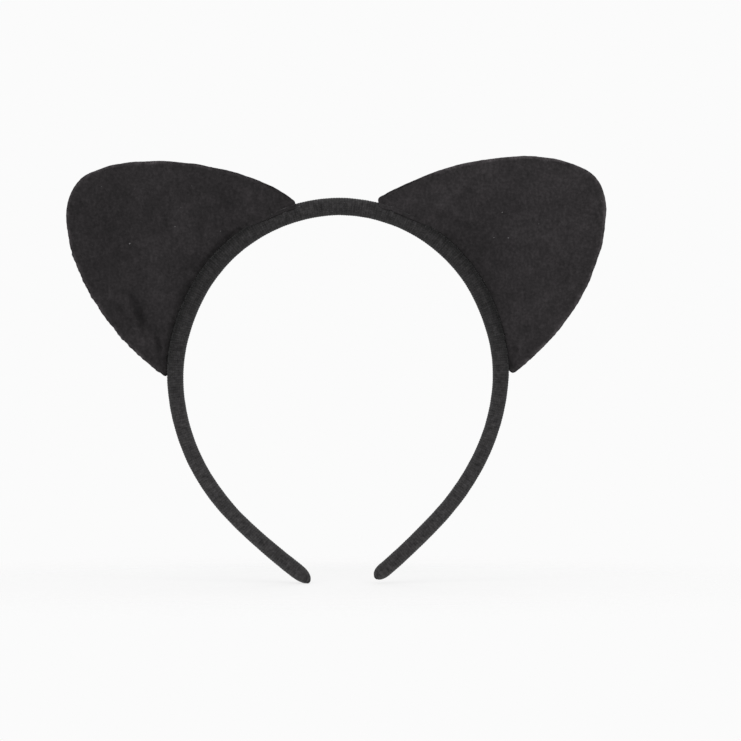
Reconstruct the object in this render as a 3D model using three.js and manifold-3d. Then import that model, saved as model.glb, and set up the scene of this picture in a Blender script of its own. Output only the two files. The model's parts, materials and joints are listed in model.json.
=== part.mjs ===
import * as THREE from 'three';
import { mergeVertices } from 'three/addons/utils/BufferGeometryUtils.js';
import Module from 'manifold-3d';

// Animal ears headband: a padded band in a knitted sleeve, with two sewn ears that stand on it.
// Millimetres, +Z up, the front of the ears faces -Y, and left is -X, as seen from the front.
// The origin is in the middle of the inside of the crown, where the band rests on the head.

// Driving dimensions
const innerRadius = 60;
const bandThickness = 6.4;
const bandDepth = 9;
const sleeveWall = 0.6;
const coreDepth = 5;
const coreThickness = 1.6;
const coreTipSetback = 2;
const earHeight = 58.4;
const earThickness = 5.5;
const earLean = 53.7;
const earHalfSpan = 39;
const earSideHandle = 33.5;
const earTipHandle = 20;
const panelWall = 0.5;
const earEdgeRound = 1.8;
const threadRadius = 0.2;

// The band flexes across two lines on each side, either side of the ear, in degrees from the top
const shoulderFlex = 13;
const legFlex = 93;
const flexGap = 0.5;

// Clearance between pieces that touch
const gap = 0.3;

const centreRadius = innerRadius + bandThickness / 2;
const outerRadius = innerRadius + bandThickness;
const shoulderDistance = THREE.MathUtils.degToRad(shoulderFlex) * centreRadius;
const legDistance = THREE.MathUtils.degToRad(legFlex) * centreRadius;

// The crown is the stretch between the shoulders. The middle facet of its inside lies at Z = 0.
const crownEnd = shoulderDistance - flexGap / 2;
const crownSteps = 5;
const archCentreZ = -innerRadius * Math.cos(crownEnd / centreRadius / crownSteps);

// The band's middle line from the top of the crown to a tip: a round arch, then a leg that
// straightens. Each arc is its sweep in radians and its radius.
const bandArcs = [
  [95, 1],
  [22.9, 1.275],
  [16.8, 1.5],
  [7.6, 3.5],
].map(([degrees, scale]) => [THREE.MathUtils.degToRad(degrees), scale * centreRadius]);
const tipDistance = bandArcs.reduce((sum, [sweep, radius]) => sum + sweep * radius, 0);

const wasm = await Module();
wasm.setup();

// ---- Materials ----

const looks = {
  core: { color: 0x2a2a2c, roughness: 0.45 },
  padding: { color: 0x3b3b3d, roughness: 1 },
  knit: { color: 0x353435, roughness: 0.92 },
  suede: { color: 0x2e2c2d, roughness: 0.97 },
  foam: { color: 0x454547, roughness: 1 },
  thread: { color: 0x1e1d1e, roughness: 0.8 },
};

function piece(name, geometry, look) {
  const material = new THREE.MeshStandardMaterial({ ...looks[look], metalness: 0, flatShading: true });
  const mesh = new THREE.Mesh(geometry, material);
  mesh.name = name;
  return mesh;
}

// ---- Joining and cutting ----

function toSolid(geometry) {
  geometry.deleteAttribute('normal');
  geometry.deleteAttribute('uv');
  const merged = mergeVertices(geometry, 1e-4);
  const vertProperties = new Float32Array(merged.attributes.position.array);
  const triVerts = new Uint32Array(merged.index.array);
  return new wasm.Manifold(new wasm.Mesh({ numProp: 3, vertProperties, triVerts }));
}

function toGeometry(solid) {
  const mesh = solid.getMesh();
  const geometry = new THREE.BufferGeometry();
  geometry.setAttribute('position', new THREE.BufferAttribute(mesh.vertProperties, 3));
  geometry.setIndex(new THREE.BufferAttribute(mesh.triVerts, 1));
  geometry.computeVertexNormals();
  return geometry;
}

// ---- Band ----

// Where the middle line is at a distance from the top, and how far it has turned by there.
// The distance is negative on the left side.
function bandPlace(distance) {
  const side = Math.sign(distance) || 1;
  let rest = Math.abs(distance);
  let turned = 0;
  let centreX = 0;
  let centreZ = archCentreZ;
  for (const [index, [sweep, radius]] of bandArcs.entries()) {
    const next = bandArcs[index + 1];
    if (rest <= sweep * radius || !next) {
      const turn = turned + rest / radius;
      const x = centreX + radius * Math.sin(turn);
      return { x: side * x, z: centreZ + radius * Math.cos(turn), turn: side * turn };
    }
    rest -= sweep * radius;
    turned += sweep;
    centreX += (radius - next[1]) * Math.sin(turned);
    centreZ += (radius - next[1]) * Math.cos(turned);
  }
}

class BandLine extends THREE.Curve {
  constructor(from, to) {
    super();
    this.from = from;
    this.to = to;
  }

  getPoint(t, target = new THREE.Vector3()) {
    const place = bandPlace(this.from + (this.to - this.from) * t);
    return target.set(place.x, 0, place.z);
  }

  getTangent(t, target = new THREE.Vector3()) {
    const { turn } = bandPlace(this.from + (this.to - this.from) * t);
    return target.set(Math.cos(turn), 0, -Math.sin(turn));
  }
}

// A section with two flats and two round sides: the flats face the head and away from it
function ovalSection(depth, thickness) {
  const flat = (depth - thickness) / 2;
  const radius = thickness / 2;
  const shape = new THREE.Shape();
  shape.moveTo(-flat, -radius);
  shape.lineTo(flat, -radius);
  shape.absarc(flat, 0, radius, -Math.PI / 2, Math.PI / 2);
  shape.lineTo(-flat, radius);
  shape.absarc(-flat, 0, radius, Math.PI / 2, Math.PI * 1.5);
  return shape;
}

function bandSection(inset) {
  return ovalSection(bandDepth - 2 * inset, bandThickness - 2 * inset);
}

function coreSection(clearance) {
  const x = coreDepth / 2 + clearance;
  const y = coreThickness / 2 + clearance;
  const corners = [[-x, -y], [x, -y], [x, y], [-x, y]];
  return new THREE.Shape(corners.map(([a, b]) => new THREE.Vector2(a, b)));
}

function hollow(outside, inside) {
  outside.holes.push(inside);
  return outside;
}

function sweepBand(section, from, to, steps) {
  const extrudePath = new BandLine(from, to);
  return new THREE.ExtrudeGeometry(section, { steps, extrudePath, curveSegments: 3 });
}

// The rounded end of the band, at the end of its middle line
function tipDome(inset) {
  const { x, z, turn } = bandPlace(tipDistance);
  const dome = new THREE.CapsuleGeometry(bandThickness / 2 - inset, bandDepth - bandThickness, 3, 12, 1);
  return dome.rotateY(turn).translate(x, 0, z);
}

function bandWithTip(inset, from, steps) {
  const run = toSolid(sweepBand(bandSection(inset), from, tipDistance, steps));
  return run.add(toSolid(tipDome(inset)));
}

const paddingInset = sleeveWall + gap;

// A stretch of the band that is open at both ends
function bandStretch(name, from, to, steps) {
  const sleeve = hollow(bandSection(0), bandSection(sleeveWall));
  const padding = hollow(bandSection(paddingInset), coreSection(gap));
  return [
    piece(`${name}_core`, sweepBand(coreSection(0), from, to, steps), 'core'),
    piece(`${name}_padding`, sweepBand(padding, from, to, steps), 'padding'),
    piece(`${name}_sleeve`, sweepBand(sleeve, from, to, steps), 'knit'),
  ];
}

// The last stretch of the band, closed round the end of the core
function bandLeg(name, from, steps) {
  const before = from - 1;
  const coreEnd = tipDistance - coreTipSetback;
  const coreSpace = toSolid(sweepBand(coreSection(gap), before, coreEnd + gap, steps));
  const padding = bandWithTip(paddingInset, from, steps).subtract(coreSpace);
  const sleeve = bandWithTip(0, from, steps).subtract(bandWithTip(sleeveWall, before, steps));
  return [
    piece(`${name}_core`, sweepBand(coreSection(0), from, coreEnd, steps), 'core'),
    piece(`${name}_padding`, toGeometry(padding), 'padding'),
    piece(`${name}_sleeve`, toGeometry(sleeve), 'knit'),
  ];
}

// ---- Threads ----

class ThreadLine extends THREE.Curve {
  constructor(route) {
    super();
    this.route = route;
  }

  getPoint(t, target = new THREE.Vector3()) {
    return this.route(t, target);
  }
}

function thread(name, route, steps) {
  const section = new THREE.Shape();
  section.absarc(0, 0, threadRadius, 0, Math.PI * 2);
  const options = { steps, extrudePath: new ThreadLine(route), curveSegments: 2 };
  return piece(name, new THREE.ExtrudeGeometry(section, options), 'thread');
}

// Whip stitches that close the end of the sleeve, lying on its round tip
function tipStitches(name) {
  const stitches = 3;
  const swing = 0.3;
  const place = bandPlace(tipDistance);
  const flat = (bandDepth - bandThickness) / 2;
  const seamEnd = flat + bandThickness / 4;
  const reach = bandThickness / 2 + gap + threadRadius;
  const route = (t, target) => {
    const y = seamEnd * (2 * t - 1);
    const radius = Math.sqrt(reach ** 2 - Math.max(0, Math.abs(y) - flat) ** 2);
    const around = place.turn + Math.PI / 2 + swing * Math.sin(2 * Math.PI * stitches * t);
    return target.set(place.x + radius * Math.sin(around), y, place.z + radius * Math.cos(around));
  };
  return thread(name, route, 10 * stitches);
}

// ---- Ears ----

// An ear is drawn in its own plane: x runs along the band, away from the crown, y points away
// from the centre of the arch, and z is its front
const earSpan = THREE.MathUtils.degToRad(earHalfSpan);
const panelInset = threadRadius + gap;
const earBaseRadius = outerRadius + 2 * (gap + threadRadius) - panelInset;
const earTipRadius = outerRadius + earHeight;
const earCorner = new THREE.Vector2(Math.sin(earSpan), Math.cos(earSpan)).multiplyScalar(earBaseRadius);

function earSide(side) {
  return new THREE.CubicBezierCurve(
    new THREE.Vector2(side * earCorner.x, earCorner.y),
    new THREE.Vector2(side * earCorner.x, earCorner.y + earSideHandle),
    new THREE.Vector2(side * earTipHandle, earTipRadius),
    new THREE.Vector2(0, earTipRadius),
  );
}

function earOutline() {
  const points = 14;
  const base = new THREE.EllipseCurve(
    0, 0, earBaseRadius, earBaseRadius, Math.PI / 2 + earSpan, Math.PI / 2 - earSpan, true,
  );
  const up = earSide(1).getPoints(points).slice(0, -1);
  const down = earSide(-1).getPoints(points).reverse().slice(0, -1);
  return new THREE.Shape([...up, ...down, ...base.getPoints(points).slice(0, -1)]);
}

// The filled ear, taken in by an offset all over
function earPillow(offset) {
  const round = earEdgeRound - offset;
  const depth = earThickness - 2 * earEdgeRound;
  const options = {
    depth,
    bevelThickness: round,
    bevelSize: round,
    bevelOffset: -(panelInset + offset + round),
    bevelSegments: 2,
  };
  return new THREE.ExtrudeGeometry(earOutline(), options).translate(0, 0, -depth / 2);
}

// The half of a solid on one face of the ear, clear of the middle plane
function earHalf(solid, side) {
  const room = 4 * earTipRadius;
  const block = new THREE.BoxGeometry(room, room, room);
  block.translate(0, 0, side * (room + gap) / 2);
  return toGeometry(solid.intersect(toSolid(block)));
}

function edgeSeam(name) {
  const short = 0.02;
  const sides = [earSide(1), earSide(-1)];
  const route = (t, target) => {
    const along = short + (1 - short) * (1 - Math.abs(2 * t - 1));
    const point = sides[t < 0.5 ? 0 : 1].getPoint(along);
    return target.set(point.x, point.y, 0);
  };
  return thread(name, route, 44);
}

// One thread that zigzags between the band and the base of the ear
function baseStitches(name) {
  const stitches = 14;
  const span = 0.92 * earSpan;
  const swing = 1.2;
  const radius = outerRadius + gap + threadRadius;
  const route = (t, target) => {
    const angle = span * (2 * t - 1);
    const z = swing * Math.sin(2 * Math.PI * stitches * t);
    return target.set(radius * Math.sin(angle), radius * Math.cos(angle), z);
  };
  return thread(name, route, 5 * stitches);
}

function ear(name) {
  const skin = toSolid(earPillow(0)).subtract(toSolid(earPillow(panelWall)));
  const plane = new THREE.Group();
  plane.rotation.x = Math.PI / 2;
  plane.add(
    piece(`${name}_front_panel`, earHalf(skin, 1), 'suede'),
    piece(`${name}_back_panel`, earHalf(skin, -1), 'suede'),
    piece(`${name}_foam`, earPillow(panelWall + gap), 'foam'),
    edgeSeam(`${name}_edge_seam`),
    baseStitches(`${name}_base_stitches`),
  );
  const leaning = new THREE.Group();
  leaning.position.z = archCentreZ;
  leaning.rotation.y = THREE.MathUtils.degToRad(earLean);
  leaning.add(plane);
  return leaning;
}

// ---- The whole headband ----

// The right side, which the left one mirrors
function side(name) {
  const group = new THREE.Group();
  const half = flexGap / 2;
  group.add(
    ...bandStretch(`${name}_shoulder`, shoulderDistance + half, legDistance - half, 12),
    ...bandLeg(`${name}_leg`, legDistance + half, 14),
    tipStitches(`${name}_tip_stitches`),
    ear(`${name}_ear`),
  );
  return group;
}

const headband = new THREE.Group();
headband.name = 'animal_ears_headband';

headband.add(...bandStretch('crown', -crownEnd, crownEnd, crownSteps));
headband.add(side('right'));

const leftSide = side('left');
leftSide.scale.x = -1;
headband.add(leftSide);

export default headband;
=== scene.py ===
"""Animal ears headband: a padded band in a knitted sleeve, with two sewn, softly filled cat ears.

Lengths are in millimetres while a shape is worked out, and become metres as its mesh is made.
"""

import json
import math

import bpy
import numpy as np
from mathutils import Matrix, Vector, noise


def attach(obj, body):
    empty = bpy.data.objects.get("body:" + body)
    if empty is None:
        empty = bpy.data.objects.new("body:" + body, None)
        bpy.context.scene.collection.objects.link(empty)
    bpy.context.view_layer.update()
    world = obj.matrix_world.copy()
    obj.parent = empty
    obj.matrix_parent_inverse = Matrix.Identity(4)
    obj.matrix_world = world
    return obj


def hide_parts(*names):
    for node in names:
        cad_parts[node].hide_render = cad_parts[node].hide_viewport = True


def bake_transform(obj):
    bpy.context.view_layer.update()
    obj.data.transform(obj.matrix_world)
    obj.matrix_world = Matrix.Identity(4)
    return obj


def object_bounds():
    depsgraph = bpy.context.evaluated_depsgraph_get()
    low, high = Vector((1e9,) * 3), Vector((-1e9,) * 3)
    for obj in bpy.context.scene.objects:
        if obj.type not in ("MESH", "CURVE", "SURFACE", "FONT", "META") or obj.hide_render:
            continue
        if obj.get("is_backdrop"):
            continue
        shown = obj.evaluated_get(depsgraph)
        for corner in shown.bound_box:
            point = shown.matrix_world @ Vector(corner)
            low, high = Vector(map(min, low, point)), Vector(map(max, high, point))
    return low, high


MM = 0.001

# The band's middle line, as in the CAD: arcs from the crown to a tip, each in degrees and radius
BAND_RADIUS = 63.2
BAND_ARCS = [(95, 1), (22.9, 1.275), (16.8, 1.5), (7.6, 3.5)]
EAR_LEAN = 53.7

# The knitted sleeve
RIBS_TO_MIDDLE = 62
RINGS_PER_RIB = 6
SLEEVE_SIDES = 44
WALES = 28
RIB_HEIGHT = 0.1
SLEEVE_WALL = 0.55
HALF_DEPTH = 4.4
SECTION_POWER = 2.3
SLEEVE_TURNS = np.linspace(0, 2 * math.pi, SLEEVE_SIDES, endpoint=False)
TIP_GATHERS = 11
DOME_STEPS = 16
# Half the thickness at distances along the band from the crown, how far the band stands out from
# its CAD line there, how much longer it is than the CAD's, and the light and shade painted into the
# knit there: painted shade along the arms beside the ears, painted light at the crown and legs. A
# worn band isn't quite the same in shape on both sides.
SHAPE_AT = (0, 24, 56, 76, 96, 112, 140, 165, 184, 196)
BANDS = {
    -1: {
        "half": (3.45, 3.45, 3.4, 3.4, 3.35, 3.05, 3.05, 2.95, 3.0, 3.15),
        "lift": (0.72, 0.15, -0.4, -0.75, -0.1, 0.4, 0.9, 0.55, 0.1, 0.05),
        "longer": -0.2,
        "painted_light": (1.12, 1.0, 0.87, 0.85, 0.92, 1.18, 1.18, 1.15, 1.09, 1.07),
    },
    1: {
        "half": (3.45, 3.45, 3.4, 3.4, 3.3, 3.0, 2.95, 2.95, 2.95, 2.95),
        "lift": (0.72, 0.6, 0.1, -0.4, 0.0, 0.05, -0.1, 0.0, 0.6, 1.15),
        "longer": -2.8,
        "painted_light": (1.1, 1.0, 0.87, 0.84, 0.92, 1.17, 1.17, 1.15, 1.1, 1.08),
    },
}
SHAPE_BLUR = 8
# The band's outer side is painted darker along the crease of an ear, as its shade, between these angles
# from the crown
CREASE_ANGLES = (14, 96)
CREASE_PAINTED_SHADE = 0.8

# What lies inside the sleeve. A core or its space is given as half its depth and half its thickness.
PADDING_INSET = 0.65
CORE_SPACE = (2.6, 0.9)
CORE = (2.5, 0.8)
CORE_POWER = 8
CORE_SETBACK = 2

# The ears, each drawn in its own plane: t runs along the band away from the crown, and u away from
# the centre of the arch
EAR_HALF_THICKNESS = 2.9
HEM_SINK = 0.3
HEM_OVERLAP = 1.8
TUCK_REACH = 1.5
EDGE_ROUND = 1.3
# How much lighter the painted highlight along an ear's edge is, and how strongly the front's folds are
# painted dark in their valleys and light on their ridges
RIM_PAINTED_HIGHLIGHT = 1.6
FOLD_PAINTED_LIGHT = 0.5
PUFF_WIDTH = 11
LEAST_ROUND = 0.3
LEAST_HALF = 0.12
BASE_END = 36
BASE_DRAW = 0.955
UPPER_BUMPS = 0.1
# How far in from the seam and how far out of the ear's plane the cloth lies where it turns in
SEAM_LIP = np.array([(0.42, 0.02), (0.16, 0.06), (0.03, 0.16)])
SEAM_RIDGE = 0.3
GRAIN, PUCKER, PULL, GATHER = 0.035, 0.16, 0.13, 0.15
PANEL_CLOTH = 0.5
FILLING_GAP = 0.3
EAR_GRID = (380, 58)
FILLING_GRID = (96, 20)

THREAD = 0.2
STITCH = 0.12
SEAM_PITCH = 2.4
BASE_STITCH_STEP = 2.7
TIP_STITCHES = np.linspace(-2.9, 2.9, 6)

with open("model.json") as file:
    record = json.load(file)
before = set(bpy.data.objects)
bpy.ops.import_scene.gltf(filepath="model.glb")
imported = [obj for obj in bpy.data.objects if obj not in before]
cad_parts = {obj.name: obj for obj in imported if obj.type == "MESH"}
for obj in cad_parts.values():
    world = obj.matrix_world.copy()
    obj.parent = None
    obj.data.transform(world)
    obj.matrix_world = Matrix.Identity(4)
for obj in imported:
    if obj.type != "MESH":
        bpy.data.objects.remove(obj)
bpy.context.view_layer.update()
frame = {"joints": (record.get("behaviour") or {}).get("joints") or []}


# ---- Where the CAD parts are ----


def joint_place(name):
    joint = next(j for j in frame["joints"] if j["name"] == name)
    return Vector(joint["pos_m"]) / MM


def arch_centre_z():
    """The height of the arch's centre, which is as far from one flex line as from the other."""
    a, b = joint_place("right_shoulder_flex"), joint_place("right_leg_flex")
    return (a.x**2 + a.z**2 - b.x**2 - b.z**2) / (2 * (a.z - b.z))


ARCH_Z = arch_centre_z()


def band_place(distance, side):
    """The middle line's x, z and turn in radians, at a distance from the crown."""
    rest, turned, x, z = distance, 0.0, 0.0, ARCH_Z
    arcs = [(math.radians(a), r * BAND_RADIUS) for a, r in BAND_ARCS]
    for index, (sweep, radius) in enumerate(arcs):
        if rest <= sweep * radius or index == len(arcs) - 1:
            turn = turned + rest / radius
            return side * (x + radius * math.sin(turn)), z + radius * math.cos(turn), side * turn
        rest -= sweep * radius
        turned += sweep
        following = arcs[index + 1][1]
        x += (radius - following) * math.sin(turned)
        z += (radius - following) * math.cos(turned)


TIP_DISTANCE = sum(math.radians(a) * r * BAND_RADIUS for a, r in BAND_ARCS)
MIDDLE_DISTANCE = math.radians(EAR_LEAN) * BAND_RADIUS
RIB_PITCH = MIDDLE_DISTANCE / RIBS_TO_MIDDLE


# ---- Meshes ----


def grid_faces(rows, columns, first=0, closed=False):
    """Quads between neighbouring rows of a grid of vertices."""
    across = columns if closed else columns - 1
    here = (np.arange(rows - 1)[:, None] * columns + np.arange(across)).ravel()
    column = here % columns
    beside = here - column + (column + 1) % columns
    return np.stack([here, beside, beside + columns, here + columns], 1) + first


def strip_faces(one, other, closed=False):
    """Quads between two lines of vertices of equal length."""
    one, other = np.asarray(one), np.asarray(other)
    if closed:
        one, other = np.append(one, one[0]), np.append(other, other[0])
    return np.stack([one[:-1], one[1:], other[1:], other[:-1]], 1)


def put(name, data):
    """A new object in the scene."""
    made = bpy.data.objects.new(name, data)
    bpy.context.scene.collection.objects.link(made)
    return made


def volume(vertices, faces):
    total = 0.0
    for face in faces:
        corners = vertices[np.asarray(face)]
        for k in range(1, corners.shape[1] - 1):
            total += np.sum(corners[:, 0] * np.cross(corners[:, k], corners[:, k + 1]))
    return total / 6


def make_piece(name, vertices, faces, material, uv=None, painted_light=None):
    """A closed mesh of quads and triangles, given as arrays of vertex numbers, facing outwards. The
    last argument is the light and shade painted into the cloth at each vertex, where 1 is its own
    colour."""
    vertices = np.asarray(vertices, float)
    if volume(vertices, faces) < 0:
        faces = [np.asarray(f)[:, ::-1] for f in faces]
    mesh = bpy.data.meshes.new(name)
    rows = [row for f in faces for row in np.asarray(f).tolist()]
    mesh.from_pydata((vertices * MM).tolist(), [], rows)
    mesh.polygons.foreach_set("use_smooth", np.ones(len(rows), bool))
    if uv is not None:
        set_uv(mesh, uv)
    if painted_light is not None:
        made = mesh.attributes.new("painted_light", "FLOAT", "POINT")
        made.data.foreach_set("value", np.asarray(painted_light, np.float32))
    mesh.materials.append(material)
    mesh.update()
    piece = put(name, mesh)
    return piece


def set_uv(mesh, uv):
    """Gives each corner its vertex's coordinates. A face across the sleeve's line where a turn ends
    and starts takes the next turn's."""
    corner = np.zeros(len(mesh.loops), int)
    mesh.loops.foreach_get("vertex_index", corner)
    at = uv[corner]
    start = np.zeros(len(mesh.polygons), int)
    mesh.polygons.foreach_get("loop_start", start)
    count = np.diff(np.append(start, len(corner)))
    face = np.repeat(np.arange(len(start)), count)
    highest = np.maximum.reduceat(at[:, 1], start)[face]
    at[:, 1] += np.where(highest - at[:, 1] > WALES / 2, WALES, 0)
    mesh.uv_layers.new(name="KnitMap").uv.foreach_set("vector", at.astype(np.float32).ravel())


def tube(points, radius, sides=8):
    """Vertices and faces of a closed tube round a line of points, with rounded ends."""
    points = np.asarray(points, float)
    radii = np.full(len(points), float(radius))
    radii[[0, -1]] *= 0.55
    along = np.gradient(points, axis=0)
    along /= np.linalg.norm(along, axis=1)[:, None]
    helper = np.where(np.abs(along[:, 1:2]) < 0.8, (0.0, 1.0, 0.0), (0.0, 0.0, 1.0))
    one = np.cross(along, helper)
    one /= np.linalg.norm(one, axis=1)[:, None]
    two = np.cross(along, one)
    turn = np.linspace(0, 2 * math.pi, sides, endpoint=False)[None, :, None]
    ring = one[:, None] * np.cos(turn) + two[:, None] * np.sin(turn)
    wall = (points[:, None] + ring * radii[:, None, None]).reshape(-1, 3)
    ends = points[[0, -1]] + along[[0, -1]] * radii[:, None][[0, -1]] * [[-0.6], [0.6]]
    vertices = np.concatenate([wall, ends])
    quads = grid_faces(len(points), sides, closed=True)
    return vertices, quads, fan(np.arange(sides)[::-1], len(wall)), fan(
        np.arange(len(wall) - sides, len(wall)), len(wall) + 1
    )


def fan(ring, centre):
    """Triangles from a closed ring of vertices to one vertex."""
    ring = np.asarray(ring)
    return np.stack([ring, np.roll(ring, -1), np.full(len(ring), centre)], 1)


def threads(name, lines, radius):
    """One piece made of a tube along each line of points."""
    vertices, quads, triangles, count = [], [], [], 0
    for line in lines:
        made, wall, start, end = tube(line, radius)
        vertices.append(made)
        quads.append(wall + count)
        triangles += [start + count, end + count]
        count += len(made)
    faces = [np.concatenate(quads), np.concatenate(triangles)]
    return make_piece(name, np.concatenate(vertices), faces, SEWING_THREAD)


def rough(points, size, seed):
    """Smooth noise from -1 to 1 at each point, with features of about that size."""
    shift = Vector((seed * 17.3, seed * 5.1, seed * 9.7))
    return np.array([noise.noise(Vector(p) / size + shift) for p in points])


def ease(x):
    """0 below 0, 1 above 1, and a smooth change between them."""
    x = np.clip(x, 0, 1)
    return x * x * (3 - 2 * x)


def upper_of(a, b, softness):
    """The greater of two values, with a rounded change between them."""
    return (a + b + np.sqrt((a - b) ** 2 + softness**2)) / 2


# ---- Materials ----


class Look:
    """A material whose nodes are added one by one. place is where a point is in its object."""

    def __init__(self, name, **sockets):
        self.material = bpy.data.materials.new(name)
        self.material.use_nodes = True
        self.tree = self.material.node_tree
        self.shader = self.tree.nodes["Principled BSDF"]
        for socket, value in sockets.items():
            self.shader.inputs[socket.replace("_", " ")].default_value = value
        self.place = self.add("ShaderNodeTexCoord").outputs["Object"]

    def add(self, kind, inputs=(), **settings):
        made = self.tree.nodes.new(kind)
        for setting, value in settings.items():
            setattr(made, setting, value)
        for socket, value in dict(inputs).items():
            if isinstance(value, bpy.types.NodeSocket):
                self.tree.links.new(value, made.inputs[socket])
            else:
                made.inputs[socket].default_value = value
        return made

    def math(self, operation, *values):
        return self.add("ShaderNodeMath", enumerate(values), operation=operation).outputs[0]

    def weighted(self, *parts):
        """The sum of outputs, each given with its weight."""
        total = self.math("MULTIPLY", *parts[0])
        for output, weight in parts[1:]:
            total = self.math("MULTIPLY_ADD", output, weight, total)
        return total

    def noise(self, size, detail=2.0, roughness=0.5, place=None):
        """Noise with features of about that size in millimetres."""
        inputs = {"Vector": self.place if place is None else place, "Scale": 1 / (size * MM)}
        inputs |= {"Detail": detail, "Roughness": roughness}
        return self.add("ShaderNodeTexNoise", inputs).outputs[0]

    def stretched(self, place, scale, turn=0.0):
        inputs = {"Vector": place, "Rotation": (0, turn, 0), "Scale": scale}
        return self.add("ShaderNodeMapping", inputs).outputs[0]

    def ramp(self, factor, stops):
        """A colour that changes with a factor, given as pairs of place and colour."""
        made = self.add("ShaderNodeValToRGB", {"Fac": factor})
        elements = made.color_ramp.elements
        while len(elements) < len(stops):
            elements.new(1.0)
        for element, (place, colour) in zip(elements, stops):
            element.position = place
            element.color = (*colour, 1)
        return made.outputs["Color"]

    def join(self, output, socket):
        self.tree.links.new(output, self.shader.inputs[socket])

    def join_colour(self, factor, *stops):
        self.join(self.ramp(factor, stops), "Base Color")

    def join_roughness(self, factor, *stops):
        self.join(self.ramp(factor, [(place, (value,) * 3) for place, value in stops]), "Roughness")

    def vary(self, factor, colours, roughnesses, height, places=(0.3, 0.7)):
        """A material whose colour, roughness and height all follow one factor."""
        self.join_colour(factor, *zip(places, colours))
        self.join_roughness(factor, *zip(places, roughnesses))
        self.bump((factor, height))
        return self.material

    def join_cloth(self, colour, lint_size, lint_stops):
        """Lays specks of lint over a colour, and scales it by the light and shade painted into the mesh.
        """
        stops = list(zip(lint_stops, ((0, 0, 0), (1, 1, 1))))
        mixed = self.add("ShaderNodeMix", data_type="RGBA")
        self.tree.links.new(self.ramp(self.noise(lint_size, 0), stops), mixed.inputs[0])
        self.tree.links.new(colour, mixed.inputs[6])
        mixed.inputs[7].default_value = (*LINT, 1)
        painted_light = self.add("ShaderNodeAttribute", attribute_name="painted_light").outputs["Fac"]
        inputs = {"Vector": mixed.outputs[2], "Scale": painted_light}
        with_painted_light = self.add("ShaderNodeVectorMath", inputs, operation="SCALE")
        self.join(with_painted_light.outputs["Vector"], "Base Color")

    def bump(self, *heights):
        """Raises the surface by each of the heights, given as pairs of output and millimetres."""
        normal = None
        for height, size in heights:
            inputs = {"Height": height, "Strength": 1.0, "Distance": size * MM}
            if normal is not None:
                inputs["Normal"] = normal
            normal = self.add("ShaderNodeBump", inputs).outputs[0]
        self.join(normal, "Normal")


def tinted(colour, share):
    return tuple(c * share for c in colour)


SUEDE = (0.0251, 0.0227, 0.0238)
KNIT = (0.0330, 0.0315, 0.0322)
LINT = (0.16, 0.155, 0.16)


def suede_look(name, shade, nap_turn):
    """Brushed microsuede: a short mottled nap lying in streaks, with specks of lint."""
    sheen = {"Sheen_Weight": 0.7, "Sheen_Roughness": 0.25, "Sheen_Tint": (0.9, 0.86, 0.9, 1)}
    look = Look(name, Roughness=0.94, Specular_IOR_Level=0.18, **sheen)
    nap, clumps, clouds = look.noise(1.0), look.noise(3.4), look.noise(13)
    streaks = look.noise(1.5, place=look.stretched(look.place, (1.0, 1.0, 0.45), nap_turn))
    mottle = look.weighted((nap, 0.38), (streaks, 0.2), (clumps, 0.24), (clouds, 0.18))
    base = tinted(SUEDE, shade)
    worn = look.ramp(mottle, [(0.34, tinted(base, 0.55)), (0.5, base), (0.66, tinted(base, 1.66))])
    look.join_cloth(worn, 1.1, (0.895, 0.91))
    look.join_roughness(clumps, (0.3, 0.86), (0.7, 1.0))
    look.bump((nap, 0.13), (streaks, 0.13), (clumps, 0.25))
    return look.material


def knit_look():
    """Fine jersey drawn tight over the band: rows of small loops, and a little fuzz."""
    sheen = {"Sheen_Weight": 0.1, "Sheen_Roughness": 0.5}
    look = Look("knit_jersey", Roughness=0.93, Specular_IOR_Level=0.16, **sheen)
    uv = look.add("ShaderNodeUVMap", uv_map="KnitMap").outputs[0]
    rib, wale, _ = look.add("ShaderNodeSeparateXYZ", {"Vector": uv}).outputs
    across = look.math("FRACT", wale)
    slant = look.math("ABSOLUTE", look.math("SUBTRACT", across, 0.5))
    phase = look.math("MULTIPLY_ADD", slant, 0.9, rib)
    wave = look.math("SINE", look.math("MULTIPLY", phase, 2 * math.pi))
    strand = look.math("MULTIPLY_ADD", wave, 0.5, 0.5)
    groove = look.math("SINE", look.math("MULTIPLY", across, math.pi))
    loop = look.math("MULTIPLY", strand, look.math("POWER", groove, 0.6))
    fuzz, patches = look.noise(0.45, 2, 0.6), look.noise(1.2, 2, 0.6)
    flat = look.stretched(uv, (1.0, 0.3, 1.0))
    slubs = look.add("ShaderNodeTexNoise", {"Vector": flat, "Scale": 0.8}).outputs[0]
    uneven = look.weighted((slubs, 0.6), (patches, 0.7), (loop, 0.2), (fuzz, 0.3))
    stops = [(0.2, tinted(KNIT, 0.4)), (0.5, KNIT), (0.8, tinted(KNIT, 1.8))]
    colour = look.ramp(look.math("SUBTRACT", uneven, 0.4), stops)
    look.join_cloth(colour, 0.7, (0.86, 0.885))
    look.join_roughness(fuzz, (0.3, 0.85), (0.7, 1.0))
    look.bump((loop, 0.14), (fuzz, 0.07))
    return look.material


def thread_look():
    """Spun polyester sewing thread."""
    look = Look("sewing_thread", Roughness=0.75, Specular_IOR_Level=0.2)
    colours = ((0.010, 0.0095, 0.010), (0.020, 0.019, 0.020))
    return look.vary(look.noise(0.15, 3, 0.6), colours, (0.65, 0.9), 0.06)


def core_look():
    """Moulded black plastic with a fine grain."""
    look = Look("moulded_plastic", Roughness=0.45)
    grain = look.noise(0.4, 4, 0.6)
    look.join_colour(look.noise(9), (0.35, (0.018, 0.018, 0.019)), (0.65, (0.028, 0.028, 0.029)))
    look.join_roughness(grain, (0.3, 0.38), (0.7, 0.55))
    look.bump((grain, 0.03))
    return look.material


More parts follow.
